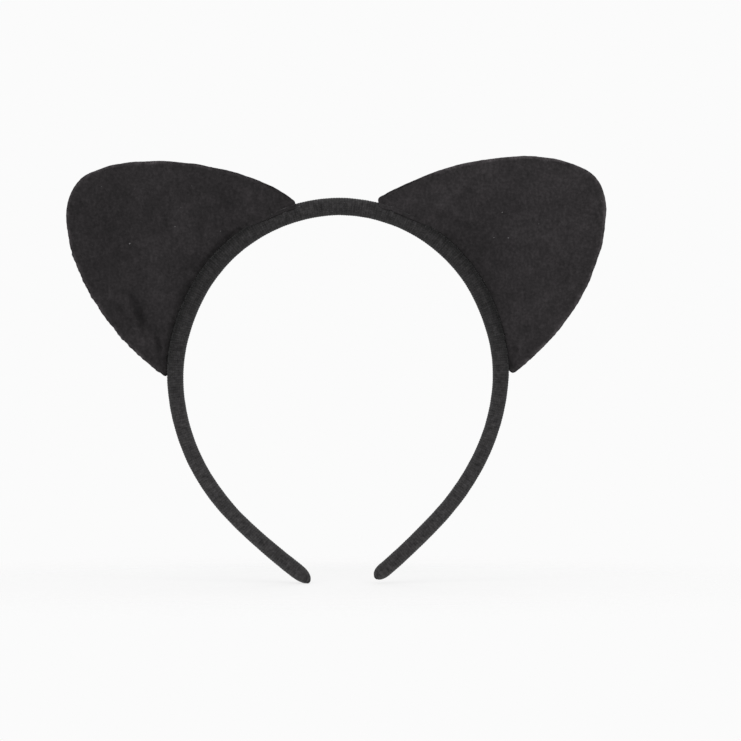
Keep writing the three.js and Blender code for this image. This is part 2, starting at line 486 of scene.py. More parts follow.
def padding_look():
    """Matted black wadding."""
    look = Look("wadding", Roughness=0.97, Sheen_Weight=0.3)
    fibres = look.noise(0.5, 4, 0.7, look.stretched(look.place, (1, 0.3, 1)))
    return look.vary(fibres, ((0.02, 0.02, 0.021), (0.06, 0.06, 0.062)), (0.9, 1.0), 0.2)


def foam_look():
    """Open-celled dark foam."""
    look = Look("ear_foam", Roughness=0.95)
    inputs = {"Vector": look.place, "Scale": 1 / (0.7 * MM)}
    cells = look.add("ShaderNodeTexVoronoi", inputs).outputs["Distance"]
    colours = ((0.03, 0.03, 0.031), (0.075, 0.075, 0.077))
    return look.vary(cells, colours, (0.9, 1.0), 0.15, (0.1, 0.6))


KNIT_CLOTH = knit_look()
SEWING_THREAD = thread_look()
FOAM = foam_look()
WADDING = padding_look()
PLASTIC = core_look()


# ---- The band ----


def band_value(name, distance, side):
    """A value of the band's shape, changing smoothly along it."""
    reach = np.minimum(SHAPE_BLUR, distance)
    steps = [reach * share for share in np.linspace(-1, 1, 9)]
    found = [np.interp(distance + step, SHAPE_AT, BANDS[side][name]) for step in steps]
    return sum(found) / len(found)


def band_centre(distance, side):
    """The middle of the band's section, with its directions outwards and towards the tip."""
    x, z, turn = band_place(distance, side)
    outwards = np.array((math.sin(turn), 0, math.cos(turn)))
    onwards = np.array((side * math.cos(turn), 0, -side * math.sin(turn)))
    return np.array((x, 0, z)) + band_value("lift", distance, side) * outwards, outwards, onwards


def rib_height(distance, turn):
    """How far the knit stands out, from 0 in the valley between two rows to 1 on a row."""
    lean = 0.16 * np.abs(((turn / math.pi) % 1) - 0.5)
    phase = distance / RIB_PITCH + lean
    return 1 - np.cos(math.pi * phase) ** 4


def swelling(place):
    """Slight unevenness of the padding under the sleeve."""
    shifted = Vector((place[0], 3, place[2]))
    return 0.07 * noise.noise(shifted / 9) + 0.05 * noise.noise(shifted / 3)


def cloth_size(inset, ribs=False):
    """The half sizes of a section that lies inside the sleeve's surface by an inset."""

    def size(distance, side, turn):
        rib = RIB_HEIGHT * (rib_height(distance, turn) if ribs else 1)
        out = swelling(band_centre(distance, side)[0]) + rib - RIB_HEIGHT - inset
        return HALF_DEPTH + out, band_value("half", distance, side) + out

    return size


def fixed_size(half_depth, half_thickness):
    return lambda distance, side, turn: (half_depth, half_thickness)


def band_ring(distance, side, size, power=SECTION_POWER, scale=1.0, forward=0.0):
    """The points of one ring round the band. scale shrinks it, and forward moves it to the tip."""
    c, s = np.cos(SLEEVE_TURNS), np.sin(SLEEVE_TURNS)
    half_depth, half_thickness = size(distance, side, SLEEVE_TURNS)
    depth = np.sign(c) * np.abs(c) ** (2 / power) * half_depth * scale
    out = np.sign(s) * np.abs(s) ** (2 / power) * half_thickness * scale
    middle, outwards, onwards = band_centre(distance, side)
    ring = middle + forward * onwards + out[:, None] * outwards
    return ring + depth[:, None] * np.array((0, 1, 0))


def band_rings(side, start, end, step, size, power=SECTION_POWER):
    stops = np.linspace(start, end, max(2, round((end - start) / step) + 1))
    return stops, [band_ring(stop, side, size, power) for stop in stops]


def tip_distance(side):
    return TIP_DISTANCE + BANDS[side]["longer"]


def dome_rings(side, inset, dome):
    """Rings that close round the tip, with gathers that deepen towards the middle, and the point
    in their middle."""
    end, size = tip_distance(side), cloth_size(inset, ribs=not inset)
    middle, outwards, onwards = band_centre(end, side)
    rings = []
    gathers = dome["gather"] * np.sin(TIP_GATHERS * SLEEVE_TURNS + side)
    for angle in np.arange(1, DOME_STEPS) / DOME_STEPS * math.pi / 2:
        scale = math.cos(angle) ** (2 / dome["power"])
        shift = dome["lean"] * (1 - scale) * outwards
        if not inset:
            scale = scale * (1 + gathers * math.sin(angle) ** 2)
        forward = (dome["length"] - inset) * math.sin(angle) ** (2 / dome["power"])
        rings.append(band_ring(end, side, size, SECTION_POWER, scale, forward) + shift)
    reach = (dome["length"] - inset) * onwards + dome["lean"] * outwards
    return rings, middle + reach


def tube_shell(outside, inside=None, outer_cap=None, inner_cap=None):
    """Vertices and faces of a tube of rings. It is solid if it has no inner rings, and its far end
    is closed at each point given as a cap."""
    n = SLEEVE_SIDES
    vertices = list(outside) + list(inside or [])
    count = len(outside) * n
    total = len(vertices) * n
    first, last = np.arange(n), count - n + np.arange(n)
    faces = [grid_faces(len(outside), n, closed=True)]
    points = []

    def close(ring, point):
        faces.append(fan(ring, total + len(points)))
        points.append(point)

    if inside:
        faces.append(grid_faces(len(inside), n, first=count, closed=True)[:, ::-1])
        faces.append(strip_faces(first + count, first, closed=True))
    else:
        close(first[::-1], outside[0].mean(0))
    if outer_cap is not None:
        close(last, outer_cap)
    elif not inside:
        close(last, outside[-1].mean(0))
    if inner_cap is not None:
        close(total - n + np.arange(n)[::-1], inner_cap)
    elif inside:
        faces.append(strip_faces(last, total - n + np.arange(n), closed=True))
    return np.concatenate([*vertices, np.array(points).reshape(-1, 3)]), faces


def sleeve_painted_light(stops, side):
    """Light and shade painted into the sleeve round each of its rings: lighter or darker along the band,
    and a painted shade on its outer side, darkest in the ear's crease.
    """
    angle = np.degrees(stops / BAND_RADIUS)
    first, last = CREASE_ANGLES
    beside = ease((angle - first) / 20) * ease((last - angle) / 22)
    outer = ease(np.sin(SLEEVE_TURNS) + 0.05)
    along = np.array([band_value("painted_light", stop, side) for stop in stops])
    return along[:, None] * (1 - CREASE_PAINTED_SHADE * beside[:, None] * outer)


def sleeve_piece(name, side, start, end, dome=None):
    """A stretch of the sleeve with its wall. With a dome, its far end is closed round the tip."""
    stops, outside = band_rings(side, start, end, RIB_PITCH / RINGS_PER_RIB, cloth_size(0, True))
    inner_stops, inside = band_rings(side, start, end, 2, cloth_size(SLEEVE_WALL))
    caps = [None, None]
    if dome:
        closing, caps[0] = dome_rings(side, 0, dome)
        outside += closing
        stops = np.append(stops, end + 0.2 * np.arange(1, len(closing) + 1))
        closing, caps[1] = dome_rings(side, SLEEVE_WALL, dome)
        inside += closing
        inner_stops = np.append(inner_stops, [end] * len(closing))
    vertices, faces = tube_shell(outside, inside, *caps)
    along = np.repeat(np.concatenate([stops, inner_stops]) / RIB_PITCH, SLEEVE_SIDES)
    turns = np.tile(np.arange(SLEEVE_SIDES) / SLEEVE_SIDES * WALES, len(stops) + len(inner_stops))
    extra = len(vertices) - len(along)
    painted_light = sleeve_painted_light(np.concatenate([stops, inner_stops]), side).ravel()
    painted_light = np.append(painted_light, [painted_light[-1]] * extra)
    uv = np.stack([np.append(along, [along[-1]] * extra), np.append(turns, [0] * extra)], 1)
    return make_piece(name, vertices, faces, KNIT_CLOTH, uv, painted_light)


def padding_piece(name, side, start, end, dome=None):
    """The wadding round the core. With a dome, it is closed round the core's end."""
    _, outside = band_rings(side, start, end, 1.5, cloth_size(PADDING_INSET))
    core_end = end - CORE_SETBACK if dome else end
    space = fixed_size(*CORE_SPACE)
    _, inside = band_rings(side, start, core_end, 1.5, space, CORE_POWER)
    caps = [None, None]
    if dome:
        closing, caps[0] = dome_rings(side, PADDING_INSET, dome)
        outside += closing
        caps[1] = inside[-1].mean(0)
    vertices, faces = tube_shell(outside, inside, *caps)
    return make_piece(name, vertices, faces, WADDING)


def core_piece(name, side, start, end):
    _, outside = band_rings(side, start, end, 1.5, fixed_size(*CORE), CORE_POWER)
    vertices, faces = tube_shell(outside)
    return make_piece(name, vertices, faces, PLASTIC)


# ---- The ears ----


def to_part(side, t, y, u):
    """Points of an ear's plane, as points of the part."""
    lean = math.radians(EAR_LEAN)
    x = side * (math.cos(lean) * t + math.sin(lean) * u)
    z = ARCH_Z - math.sin(lean) * t + math.cos(lean) * u
    return np.stack(np.broadcast_arrays(x, y, z), -1)


def polar(radius, degrees):
    """Points of an ear's plane at a radius from the arch's centre and an angle from the ear's axis."""
    angle = np.radians(degrees)
    return np.stack([radius * np.sin(angle), radius * np.cos(angle)], -1)


def polar_of(points):
    """The radius from the arch's centre and the angle in degrees from the ear's axis."""
    return np.linalg.norm(points, axis=-1), np.degrees(np.arctan2(points[..., 0], points[..., 1]))


def band_surface(degrees, side):
    """The radius of the band's outer side at an angle from the ear's axis."""
    distance = np.radians(EAR_LEAN + np.asarray(degrees, float)) * BAND_RADIUS
    lift = band_value("lift", distance, side)
    return BAND_RADIUS + lift + band_value("half", distance, side)


def overlap(degrees):
    return ease((-15 - np.asarray(degrees, float)) / 15)


def hem_radius(degrees, side):
    """The ear's lower edge. It reaches down over the band near the crown."""
    return band_surface(degrees, side) - HEM_SINK - HEM_OVERLAP * overlap(degrees)


def bezier(points, count):
    t = np.linspace(0, 1, count)[:, None]
    a, b, c, d = (np.array(p, float) for p in points)
    return a * (1 - t) ** 3 + 3 * b * t * (1 - t) ** 2 + 3 * c * t**2 * (1 - t) + d * t**3


def spread_evenly(line, count):
    length = np.append(0, np.cumsum(np.linalg.norm(np.diff(line, axis=0), axis=1)))
    stops = np.linspace(0, length[-1], count)
    return np.stack([np.interp(stops, length, line[:, k]) for k in (0, 1)], 1), length[-1]


def soften(line, spacing, size):
    """Rounds the corners of an evenly spaced line, and keeps its ends."""
    reach = int(3 * size / spacing)
    weight = np.exp(-0.5 * (np.arange(-reach, reach + 1) * spacing / size) ** 2)
    weight /= weight.sum()
    before, after = 2 * line[0] - line[reach:0:-1], 2 * line[-1] - line[-2 : -reach - 2 : -1]
    padded = np.concatenate([before, line, after])
    return np.stack([np.convolve(padded[:, k], weight, "valid") for k in (0, 1)], 1)


def ear_outline(ear):
    """The seam line of an ear, from its crown end round the tip to its leg end."""
    side, tip = ear["side"], np.array(ear["tip"])
    tilt = math.radians(ear["tip_tilt"])
    level = np.array((math.cos(tilt), math.sin(tilt)))
    crown, leg = np.array(ear["crown_corner"]), np.array(ear["leg_corner"])
    before = (crown, crown + ear["crown_handle"], tip - ear["tip_handles"][0] * level, tip)
    after = (tip, tip + ear["tip_handles"][1] * level, leg + ear["leg_handle"], leg)
    start = [
        polar(hem_radius(-BASE_END, side), -BASE_END),
        polar(hem_radius(-BASE_END - 3, side), -BASE_END - 3.5),
    ]
    foot = polar(float(band_surface(BASE_END, side)) - HEM_SINK, BASE_END)
    finish = [leg + (0, -0.8 * ear["nub"]), foot]
    line = np.concatenate([start, bezier(before, 200), bezier(after, 200)[1:], finish])
    spacing = 0.1
    _, length = spread_evenly(line, 2)
    even, _ = spread_evenly(line, int(length / spacing))
    return soften(even, spacing, 0.8)


def inward(line):
    along = np.gradient(line, axis=0)
    along /= np.linalg.norm(along, axis=1)[:, None]
    return np.stack([along[:, 1], -along[:, 0]], 1)


def least_distance(points, line):
    """The distance from each point to a dense line of points."""
    found = []
    for part in np.array_split(points, max(1, len(points) // 4000)):
        gap = part[:, None] - line[None]
        found.append(np.sqrt((gap**2).sum(-1).min(1)))
    return np.concatenate(found)


def with_third(points, third):
    """Points of a plane with a third number, which tells one field of noise from another."""
    return np.column_stack([points, np.full(len(points), float(third))])


def fold_height(points, fold):
    """A valley with a ridge beside it, fading towards its ends."""
    start, end, width, depth, bow = fold
    gap = points - start
    along = np.subtract(end, start)
    length = np.linalg.norm(along)
    along = along / length
    t = 2 * (gap @ along) / length - 1
    across = gap @ np.array((-along[1], along[0])) + bow * (1 - t**2)
    spots = with_third(points, 0)
    across += 0.9 * rough(spots, 4.5, 1) + 0.4 * rough(spots, 1.6, 2)
    fade = np.exp(-(np.clip(np.abs(t) - 0.55, 0, None) / 0.45) ** 2)
    valley = np.exp(-((across / width) ** 2))
    ridge = np.exp(-(((across - 1.7 * width) / (1.2 * width)) ** 2))
    worn = 1 + 0.7 * rough(spots, 3.3, 4)
    return worn * fade * depth * (0.7 * ridge - valley)


# Each ear's outline in its own plane, and the wear of its seam. hem is half the thickness at its
# base and crease how dark the shade painted along its crease is there. A patch is t, u, its size and
# how much lighter it is. A fold is its two ends, width, depth and bow.
EARS = {
    "left": {
        "side": -1,
        "seed": 3,
        "shade": 0.96,
        "crown_corner": (-43.1, 52.3),
        "crown_handle": (-2.5, 26.2),
        "tip": (4.7, 124.8),
        "tip_tilt": -12.5,
        "tip_handles": (20, 23.7),
        "leg_corner": (41.3, 52.3),
        "leg_handle": (2.4, 25.4),
        "nub": 0.2,
        "bumps": 0.42,
        "hem": 1.25,
        "crease": 0.5,
        "patches": [
            (-12, 93, 14, 0.08),
            (8, 79, 11, 0.16),
            (8, 105, 12, -0.12),
            (-28, 75, 6, -0.2),
            (29, 74, 5, -0.22),
            (3, 69, 10, -0.1),
            (36, 68, 4, 0.2),
        ],
        "folds": [
            ((24, 82), (34, 68), 1.7, 0.85, 0.6),
            ((29, 70), (35.5, 59.5), 1.35, 0.75, 0.4),
            ((-20, 78), (-6, 71), 1.6, 0.26, -1),
            ((-14, 101), (-2, 96), 2.2, 0.22, 1),
        ],
    },
    "right": {
        "side": 1,
        "seed": 8,
        "shade": 1.13,
        "crown_corner": (-44.9, 52.3),
        "crown_handle": (4.3, 42.2),
        "tip": (2.9, 124.9),
        "tip_tilt": -11.5,
        "tip_handles": (17.5, 12.6),
        "leg_corner": (40.9, 54.6),
        "leg_handle": (-0.2, 42.0),
        "nub": 0.8,
        "bumps": 0.22,
        "hem": 2.3,
        "crease": 0.1,
        "patches": [
            (0, 110, 15, 0.1),
            (-5, 71, 17, -0.22),
            (-29, 92, 7, 0.1),
            (22, 90, 10, -0.06),
            (37.5, 55, 2.2, -0.5),
        ],
        "folds": [
            ((17, 103), (27, 90), 1.6, 0.26, 1),
            ((-28, 66), (-14, 74), 1.7, 0.3, -1),
            ((30, 66), (37, 58), 1.2, 0.3, 0.5),
        ],
    },
}


# The cloth simulation of an ear's cover, on a coarse mesh ten times life size
SIM_GRID = (110, 24)
SIM_SCALE = 10
SIM_FRAMES = 22
SIM_SETTINGS = {
    "quality": 8,
    "mass": 0.25,
    "tension_stiffness": 20,
    "compression_stiffness": 20,
    "shear_stiffness": 8,
    "bending_stiffness": 0.35,
    "air_damping": 2.0,
    "uniform_pressure_force": 1.6,
    "shrink_min": -0.045,
    "shrink_max": -0.045,
}
SIM_MOST = 1.1


def relax_cover(ear):
    """How far the cloth of each face moves when the cover, cut a little too large, is filled and
    settles between its seams. The seams themselves stay where they are."""
    halves = [ear_half(ear, face, 0, SIM_GRID, False) for face in (-1, 1)]
    rows, columns = halves[0].shape[:2]
    start = np.concatenate([half.reshape(-1, 3) for half in halves])
    uneven = 0.05 * rough(start, 6, ear["seed"] + 5)
    cover = start + uneven[:, None] * np.array((0, 1, 0))
    mesh = bpy.data.meshes.new("cover")
    quads = np.concatenate(shell_faces(rows, columns)).tolist()
    mesh.from_pydata((cover * MM * SIM_SCALE).tolist(), [], quads)
    cloth_object = put("cover", mesh)
    held = cloth_object.vertex_groups.new(name="held")
    seams = [border(rows, columns, first) for first in (0, rows * columns)]
    held.add(np.concatenate(seams).tolist(), 1.0, "REPLACE")
    cloth = cloth_object.modifiers.new("cloth", "CLOTH")
    for setting, value in SIM_SETTINGS.items():
        setattr(cloth.settings, setting, value)
    cloth.settings.use_pressure = True
    cloth.settings.vertex_group_mass = "held"
    cloth.settings.effector_weights.gravity = 0
    cloth.collision_settings.use_collision = False
    cloth.point_cache.frame_end = SIM_FRAMES
    for number in range(1, SIM_FRAMES + 1):
        bpy.context.scene.frame_set(number)
    depsgraph = bpy.context.evaluated_depsgraph_get()
    found = cloth_object.evaluated_get(depsgraph).data.vertices
    end = np.zeros(len(found) * 3)
    found.foreach_get("co", end)
    moved = end.reshape(-1, 3) / (MM * SIM_SCALE) - cover
    size = np.linalg.norm(moved, axis=1)[:, None]
    moved *= SIM_MOST * np.tanh(size / SIM_MOST) / np.maximum(size, 1e-9)
    bpy.data.objects.remove(cloth_object)
    bpy.context.scene.frame_set(1)
    return dict(zip((-1, 1), moved.reshape(2, rows, columns, 3)))


def read_rows(field, line):
    """What a field holds at places between its rows."""
    row = np.clip(line.astype(int), 0, len(field) - 2)
    part = (line - row)[:, None, None]
    return field[row] * (1 - part) + field[row + 1] * part


def resample(field, shares, columns):
    """A coarse field of moves, read at other rows and columns."""
    known = row_shares(len(field) - 1)
    between = read_rows(field, np.interp(shares, known, np.arange(len(known))))
    line = np.linspace(0, field.shape[1] - 1, columns)
    return read_rows(between.swapaxes(0, 1), line).swapaxes(0, 1)


def row_shares(count):
    """How far each row lies from the outline towards the hem, closer together at both."""
    middle = (np.arange(count) + 0.5) / count
    steps = 0.22 + np.sin(math.pi * middle) ** 1.2
    shares = np.cumsum(steps) / steps.sum()
    return np.append(0, shares)


def seam_phase(stop):
    """The turn of the seam's stitches at distances along it, a little uneven in their pitch."""
    return 2 * math.pi * stop / SEAM_PITCH + 1.5 * np.sin(stop / 5.3)


def seam_wobble(ear, stop, length):
    """How far the outline stands out along the seam. It is most uneven towards its leg end."""
    lower = ease((stop / length - 0.55) / 0.15)
    size = UPPER_BUMPS + (ear["bumps"] - UPPER_BUMPS) * lower
    track = with_third(np.stack([stop, 0 * stop], 1), 0)
    wobble = 0.35 * np.cos(seam_phase(stop))
    wobble += 1.6 * rough(track, 2.9, ear["seed"] + 9) + 0.7 * rough(track, 1.3, ear["seed"])
    drift = 0.3 * rough(track, 7, ear["seed"])
    ends = ease(np.minimum(stop, length - stop) / 6)
    return ends * (size * wobble * 0.5 + drift)


def rows_between(rim, normal, base, down, shares):
    """Rows of points from the seam, which they leave inwards, to the hem, which they reach downwards."""
    reach = np.linalg.norm(base - rim, axis=1)[:, None]
    x = shares[:, None, None]
    from_rim = (2 * x**3 - 3 * x**2 + 1) * rim + (x**3 - 2 * x**2 + x) * reach * normal
    return from_rim + (3 * x**2 - 2 * x**3) * base + (x**3 - x**2) * reach * down


def puffed(edge, inset):
    """Half the thickness of an ear at distances from its seam."""
    rounding = max(EDGE_ROUND - inset, LEAST_ROUND)
    full = EAR_HALF_THICKNESS - inset
    a, b = np.clip(edge / rounding, 0, 1), np.clip(edge / PUFF_WIDTH, 0, 1)
    return rounding * np.sqrt(1 - (1 - a) ** 2) + (full - rounding) * (1 - (1 - b) ** 2.3)


def over_band(height, radius, at, inset, side):
    """The height of the cloth, raised where it lies over the band."""
    surface = band_surface(at, side)
    cover = overlap(at) * ease((surface + 1.2 - radius) / 1.2)
    cloth = 0.22 + 0.3 * ease((radius - surface + HEM_SINK + HEM_OVERLAP) / 1.2) - inset
    lying = upper_of(height, band_half_depth(radius, at, side) + cloth, 0.35)
    return height + cover * (lying - height)


def ear_half(ear, face, inset, size, detail, moves=None):
    """One face of an ear as a grid of points (t, y, u), from the seam to the hem. face is -1 for the
    front and 1 for the back, inset is how far it lies inside the outer surface, size is its numbers
    of columns and rows, and moves is what the cloth simulation found."""
    side, (columns, rows) = ear["side"], size
    rim, length = spread_evenly(ear_outline(ear), columns)
    stop = np.linspace(0, length, columns)
    normal = inward(rim)
    turn = np.clip(polar_of(rim)[1] * BASE_DRAW, -BASE_END, BASE_END)
    turn = np.maximum.accumulate(turn) + np.linspace(0, 0.01, columns)
    if detail:
        rim = rim - normal * seam_wobble(ear, stop, length)[:, None]
    rim = rim + normal * inset
    base = polar(hem_radius(turn, side), turn)
    grid = rows_between(rim, normal, base, -polar(1.0, turn), row_shares(rows))
    line = rim[::2] if detail else rim
    edge = least_distance(grid.reshape(-1, 2), line).reshape(grid.shape[:2])
    edge[0] = 0
    radius, at = polar_of(grid)
    above = np.clip(radius - hem_radius(at, side), 0, None)
    lips = len(SEAM_LIP) if detail else 0
    if detail:
        grid = np.concatenate([[rim + normal * gap for gap in SEAM_LIP[:, 0]], grid])
        edge = np.concatenate([np.zeros((lips, columns)), edge])
        above = np.concatenate([np.repeat(above[:1], lips, 0), above])
        radius, at = polar_of(grid)
    tuck = (1 - ear["hem"] / EAR_HALF_THICKNESS) * (1 - overlap(at))
    height = puffed(edge, inset) * (1 - tuck * np.exp(-((above / TUCK_REACH) ** 2)))
    height = np.maximum(height, LEAST_HALF)
    if moves:
        shift = resample(moves[face], row_shares(rows), columns)
        grid[lips:] += shift[..., [0, 2]]
        height[lips:] += face * shift[..., 1]
    height += ear_waves(ear, face, grid, edge)
    if detail:
        height[lips:] += SEAM_RIDGE * np.exp(-edge[lips:])
        height[:lips] = SEAM_LIP[:, 1:]
        height += ear_details(ear, face, grid, stop, edge, above)
    height = over_band(height, radius, at, inset, side)
    return np.stack([grid[..., 0], face * height, grid[..., 1]], -1)


def band_half_depth(radius, degrees, side):
    """Half the band's depth at a distance from the arch's centre."""
    distance = np.radians(EAR_LEAN + np.asarray(degrees, float)) * BAND_RADIUS
    half = band_value("half", distance, side)
    share = np.clip(np.abs(radius - band_surface(degrees, side) + half) / half, 0, 1)
    return HALF_DEPTH * (1 - share**SECTION_POWER) ** (1 / SECTION_POWER)


def face_noise(ear, face, grid, size, number):
    """Smooth noise over one face of an ear. Each number gives another field."""
    seed = ear["seed"] + 20 * (face > 0)
    spots = with_third(grid.reshape(-1, 2), 10 * seed)
    return rough(spots, size, seed + number).reshape(grid.shape[:2])


def ear_waves(ear, face, grid, edge):
    """The broad waves of an ear's face and the folds of its front."""
    found = 0.55 * face_noise(ear, face, grid, 16, 0) + 0.22 * face_noise(ear, face, grid, 5.5, 1)
    if face < 0:
        for fold in ear["folds"]:
            found += fold_height(grid.reshape(-1, 2), fold).reshape(edge.shape)
    return found * ease(edge / 4)


def ear_details(ear, face, grid, stop, edge, above):
    """What the cloth does at its surface: puckers along the seam, gathers at the hem and a grain."""
    seed = ear["seed"] + 20 * (face > 0)
    grain = face_noise(ear, face, grid, 1.7, 2) * ease(edge / 0.6)
    strength = 0.7 + 0.5 * np.sin(stop / 8.1 + seed)
    pucker = np.cos(seam_phase(stop)) * strength * np.exp(-edge / 1.7) * ease(edge / 0.3)
    long_phase = stop / 3.9 + 2.2 * np.sin(stop / 11.7 + seed)
    pull = np.cos(long_phase) * np.exp(-((edge - 2.5) ** 2) / 22) * ease(edge / 1.5)
    turn = np.arctan2(grid[..., 0], grid[..., 1])
    gathers = np.cos(turn * 66 * 2 * math.pi / 3.3 + 1.3 * np.sin(turn * 9 + seed))
    gathers *= np.exp(-above / 2.2) * ease(edge / 2)
    return GRAIN * grain + PUCKER * pucker + PULL * pull + GATHER * gathers


def ear_painted_light(ear, face, points):
    """The light and shade painted into an ear's face: painted shade in its crease above the band, at
    its hem and in its folds' valleys, a painted highlight along its edge and on the folds' ridges,
    and lighter and darker patches between them."""
    flat = points[..., [0, 2]]
    spots = flat.reshape(-1, 2)
    edge = least_distance(spots, flat[0, ::2]).reshape(flat.shape[:2])
    radius, at = polar_of(flat)
    above = radius - band_surface(at, ear["side"])
    track = with_third(spots, 7 * face)
    uneven = 0.8 + 0.7 * rough(track, 5, ear["seed"] + 2).reshape(edge.shape)
    uneven += 0.9 * rough(track, 1.7, ear["seed"] + 3).reshape(edge.shape)
    bare = ease((at + 24) / 12)
    # Painted shade: dark in the crease where the ear meets the band, and a little darker above it
    crease = ear["crease"] * bare * uneven * np.exp(-((np.clip(above, 0, None) / 0.8) ** 2))
    soft = 0.1 * bare * np.exp(-np.clip(above, 0, None) / 3.5)
    painted_light = (1 - np.clip(crease, 0, 0.85)) * (1 - soft)
    # A painted highlight along the ear's free edge
    loose = ease((at + 34) / 10) * ease((39 - at) / 6)
    painted_light *= 1 + RIM_PAINTED_HIGHLIGHT * loose * np.clip(uneven, 0.4, 1.4) * np.exp(-((edge / 0.7) ** 2))
    for t, u, size, amount in ear["patches"]:
        gap = ((flat - (t, u)) ** 2).sum(-1)
        painted_light *= 1 + amount * np.exp(-gap / size**2)
    # Painted shade in the valleys of the front's folds, and painted light on their ridges
    if face < 0:
        for fold in ear["folds"]:
            painted_light *= 1 + np.clip(FOLD_PAINTED_LIGHT * fold_height(spots, fold).reshape(edge.shape), -0.6, 0.15)
    # Painted shade at the hem's edge
    hem = ease((radius - hem_radius(at, ear["side"])) / 0.5)
    return painted_light * (0.45 + 0.55 * hem)


def border(rows, columns, first):
    """The numbers of the vertices round a grid, in order."""
    grid = np.arange(rows * columns).reshape(rows, columns) + first
    return np.concatenate([grid[0], grid[1:, -1], grid[-1, -2::-1], grid[-2:0:-1, 0]])


def shell_faces(rows, columns):
    """Quads of two grids of vertices, one after the other, that are joined round their borders."""
    count = rows * columns
    return [
        grid_faces(rows, columns),
        grid_faces(rows, columns, first=count)[:, ::-1],
        strip_faces(border(rows, columns, count), border(rows, columns, 0), closed=True),
    ]


def ear_panel(name, ear, face, material):
    """One cloth panel of an ear, with its thickness."""
    outside = ear_half(ear, face, 0, EAR_GRID, True, ear["moves"])
    rows, columns = outside.shape[:2]
    inside = ear_half(ear, face, PANEL_CLOTH, (columns, rows - 1), False, ear["moves"])
    vertices = np.concatenate([outside.reshape(-1, 3), inside.reshape(-1, 3)])
    placed = to_part(ear["side"], *vertices.T)
    # The outer face carries its painted light and shade; the inner face is painted half as light, as
    # shade
    painted_light = np.append(ear_painted_light(ear, face, outside), np.full(rows * columns, 0.5))
    return make_piece(name, placed, shell_faces(rows, columns), material, painted_light=painted_light)


def ear_filling(name, ear):
    """The soft sheet inside an ear."""
    inset = PANEL_CLOTH + FILLING_GAP
    halves = [ear_half(ear, face, inset, FILLING_GRID, False, ear["moves"]) for face in (-1, 1)]
    faces = shell_faces(*halves[0].shape[:2])
    vertices = np.concatenate([half.reshape(-1, 3) for half in halves])
    return make_piece(name, to_part(ear["side"], *vertices.T), faces, FOAM)


def seam_thread(name, ear):
    """The thread of the edge seam, which dips and shows by turns in the groove."""
    line, length = spread_evenly(ear_outline(ear), 900)
    stop = np.linspace(0, length, len(line))
    dip = 0.42 + 0.14 * np.cos(2 * math.pi * stop / SEAM_PITCH)
    line = (line + inward(line) * dip[:, None])[12:-12]
    points = to_part(ear["side"], line[:, 0], 0 * line[:, 0], line[:, 1])
    return threads(name, [points], THREAD)


def base_stitches(name, ear):
    """Whip stitches that hold the ear's hems to the sleeve, front and back."""
    lines = []
    for face in (-1, 1):
        for index, degrees in enumerate(np.arange(-34, 35, BASE_STITCH_STEP)):
            hem = float(hem_radius(degrees, ear["side"]))
            reach = np.linspace(0, 1, 7)
            half = 0.55 - 0.25 * float(overlap(degrees))
            radius = hem + half - 2 * half * reach
            turn = degrees + 0.5 * (reach - 0.5) + 0.2 * math.sin(index * 2.1)
            hump = 0.37 * half * np.sin(math.pi * reach)
            band = band_half_depth(radius, turn, ear["side"])
            cloth = upper_of(ear["hem"] + 0.35 * (1 - reach), band, 0.3)
            t, u = polar(radius, turn).T
            lines.append(to_part(ear["side"], t, face * (cloth + hump - 0.02), u))
    return threads(name, lines, STITCH)


def tip_stitches(name, side, dome):
    """Whip stitches over the seam that closes the sleeve's end."""
    end = tip_distance(side)
    middle, outwards, onwards = band_centre(end, side)
    half = band_value("half", end, side)
    lines = []
    for y in TIP_STITCHES:
        spread = np.linspace(-1, 1, 9)
        slide, out = y + 0.35 * spread, 0.95 * spread
        share = np.abs(slide / HALF_DEPTH) ** SECTION_POWER + np.abs(out / half) ** SECTION_POWER
        rim = share ** (dome["power"] / SECTION_POWER)
        forward = dome["length"] * (1 - rim) ** (1 / dome["power"]) + 0.04 - 0.1 * spread**2
        out = out + dome["lean"] * (1 - rim) ** 0.5
        line = middle + out[:, None] * outwards + forward[:, None] * onwards
        lines.append(line + slide[:, None] * np.array((0, 1, 0)))
    return threads(name, lines, STITCH)


# ---- The whole headband ----

# How each tip is closed: the left one is longer than the right
DOMES = {
    "left": {"power": 2.05, "length": 6.2, "lean": 0.35, "gather": 0.04},
    "right": {"power": 2.15, "length": 5.2, "lean": 0.2, "gather": 0.04},
}


def flex(piece):
    """Bakes a piece's placing into its mesh."""
    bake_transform(piece)


def make_length(name, level, side, start, end, dome=None):
    """The core, padding and sleeve of one length of the band. With a dome, it ends in a tip."""
    core_end = end - CORE_SETBACK if dome else end
    return {
        "core": core_piece(f"{name}_core_{level}", side, start, core_end),
        "padding": padding_piece(f"{name}_padding_{level}", side, start, end, dome),
        "sleeve": sleeve_piece(f"{name}_sleeve_{level}", side, start, end, dome),
    }


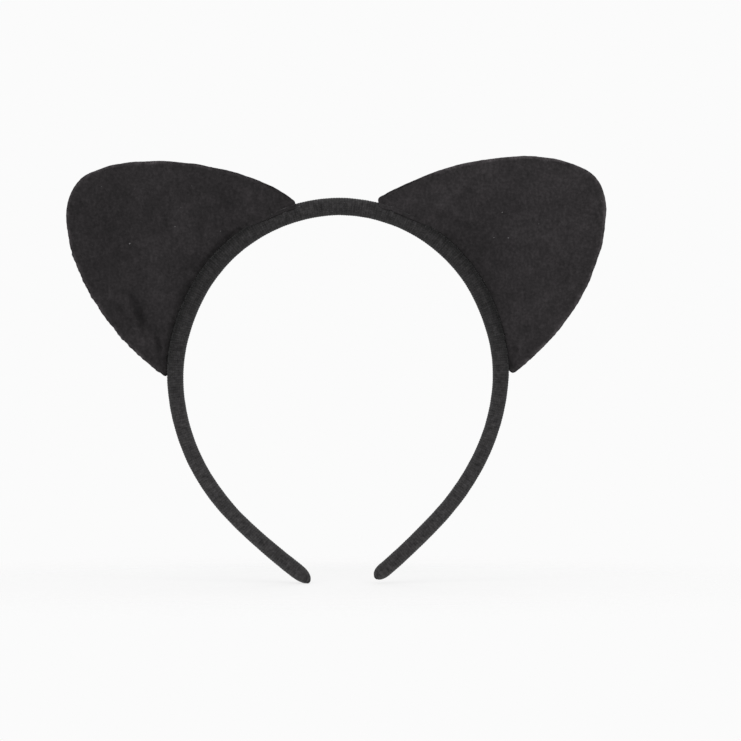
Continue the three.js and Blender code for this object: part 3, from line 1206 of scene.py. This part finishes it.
def make_side(name, ear):
    """Everything on one side of the crown. Its stitches are put on the bodies they move with."""
    side = ear["side"]
    shoulder, leg, bending = f"{name}_shoulder", f"{name}_leg", f"{name}_ear"
    dome = DOMES[name]
    upper = make_length(name, "upper", side, 0, MIDDLE_DISTANCE)
    for part, piece in upper.items():
        flex(piece)
        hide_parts(f"crown_{part}", f"{shoulder}_{part}")
    lower = make_length(name, "lower", side, MIDDLE_DISTANCE, tip_distance(side), dome)
    for part, piece in lower.items():
        flex(piece)
        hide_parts(f"{leg}_{part}")
    tip = tip_stitches(f"{name}_tip_stitching", side, dome)
    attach(tip, leg)
    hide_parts(f"{name}_tip_stitches")
    stitches = base_stitches(f"{name}_ear_base_stitching", ear)
    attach(stitches, shoulder)
    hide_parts(f"{name}_ear_base_stitches")

    suede = suede_look(f"{name}_ear_suede", ear["shade"], side * math.radians(EAR_LEAN - 25))
    soft = {
        "front_panel": ear_panel(f"{name}_ear_front", ear, -1, suede),
        "back_panel": ear_panel(f"{name}_ear_back", ear, 1, suede),
        "foam": ear_filling(f"{name}_ear_filling", ear),
        "edge_seam": seam_thread(f"{name}_ear_seam_thread", ear),
    }
    for ending, piece in soft.items():
        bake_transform(piece)
        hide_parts(f"{name}_ear_{ending}")


for ear_name, ear_facts in EARS.items():
    ear_facts["moves"] = relax_cover(ear_facts)
    make_side(ear_name, ear_facts)


# ---- The floor, light and camera ----

# Metres, and watts for the lights
FLOOR_RADIUS = 0.26
FLOOR_SIDES = 96
FLOOR_FULL_TO = 0.04
FLOOR_GLOW = 0.69
BACKGROUND = 0.965
AMBIENT = 0.35
WHITE = (1, 1, 1, 1)
LENS = 200
CAMERA_PLACE = (0.0126, -1.599, -0.05975)
LIGHTS = {
    "left": ((-0.7, -1.5, 0.85), 12),
    "right": ((0.65, -1.5, 0.8), 11),
    "back": ((0.2, 1.6, 0.6), 6),
}
LIGHT_SIZE = 1.4
LIGHT_TARGET = Vector((0, 0, -0.05))


def floor_look():
    """A pale floor that glows a little, so that its shade stays soft, and fades at its edge."""
    glow = {"Emission_Color": WHITE, "Emission_Strength": FLOOR_GLOW}
    look = Look("pale_floor", Roughness=0.9, Specular_IOR_Level=0.1, **glow)
    length = look.add("ShaderNodeVectorMath", {0: look.place}, operation="LENGTH").outputs["Value"]
    shown = look.add(
        "ShaderNodeMapRange",
        {"Value": length, 1: FLOOR_FULL_TO, 2: FLOOR_RADIUS * 0.98, 3: 1.0, 4: 0.0},
        interpolation_type="SMOOTHSTEP",
    )
    look.join_colour(look.noise(3), (0.3, (0.323,) * 3), (0.7, (0.329,) * 3))
    look.join(shown.outputs[0], "Alpha")
    return look.material


def make_floor(lowest):
    """A round floor level with the lowest point of the tips."""
    mesh = bpy.data.meshes.new("floor")
    turns = [2 * math.pi * step / FLOOR_SIDES for step in range(FLOOR_SIDES)]
    ring = [(FLOOR_RADIUS * math.cos(a), FLOOR_RADIUS * math.sin(a), 0) for a in turns]
    mesh.from_pydata(ring, [], [list(range(FLOOR_SIDES))])
    mesh.materials.append(floor_look())
    floor = put("floor", mesh)
    floor.location.z = lowest
    floor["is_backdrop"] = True


def add_light(name, place, power):
    data = bpy.data.lights.new(name, "AREA")
    data.shape = "DISK"
    data.size = LIGHT_SIZE
    data.energy = power
    light = put(name, data)
    light.location = place
    light.rotation_mode = "QUATERNION"
    light.rotation_quaternion = (LIGHT_TARGET - Vector(place)).to_track_quat("-Z", "Y")


def make_world():
    """White to the camera, and a softer light on the object."""
    world = bpy.data.worlds.new("studio")
    bpy.context.scene.world = world
    world.use_nodes = True
    tree = world.node_tree
    path = tree.nodes.new("ShaderNodeLightPath")
    strength = tree.nodes.new("ShaderNodeMath")
    strength.operation = "MULTIPLY_ADD"
    strength.inputs[1].default_value = BACKGROUND - AMBIENT
    strength.inputs[2].default_value = AMBIENT
    tree.links.new(path.outputs["Is Camera Ray"], strength.inputs[0])
    white = tree.nodes["Background"]
    white.inputs["Color"].default_value = WHITE
    tree.links.new(strength.outputs[0], white.inputs["Strength"])


def make_camera():
    data = bpy.data.cameras.new("camera")
    data.lens = LENS
    data.sensor_width = 36
    data.clip_start, data.clip_end = 0.05, 100
    camera = put("camera", data)
    camera.location = CAMERA_PLACE
    camera.rotation_euler = (math.pi / 2, 0, 0)
    bpy.context.scene.camera = camera


make_floor(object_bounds()[0].z)
make_world()
make_camera()
for light_name, (light_place, light_power) in LIGHTS.items():
    add_light(light_name, light_place, light_power)
bpy.context.scene.view_settings.view_transform = "Standard"
bpy.context.scene.view_settings.look = "None"
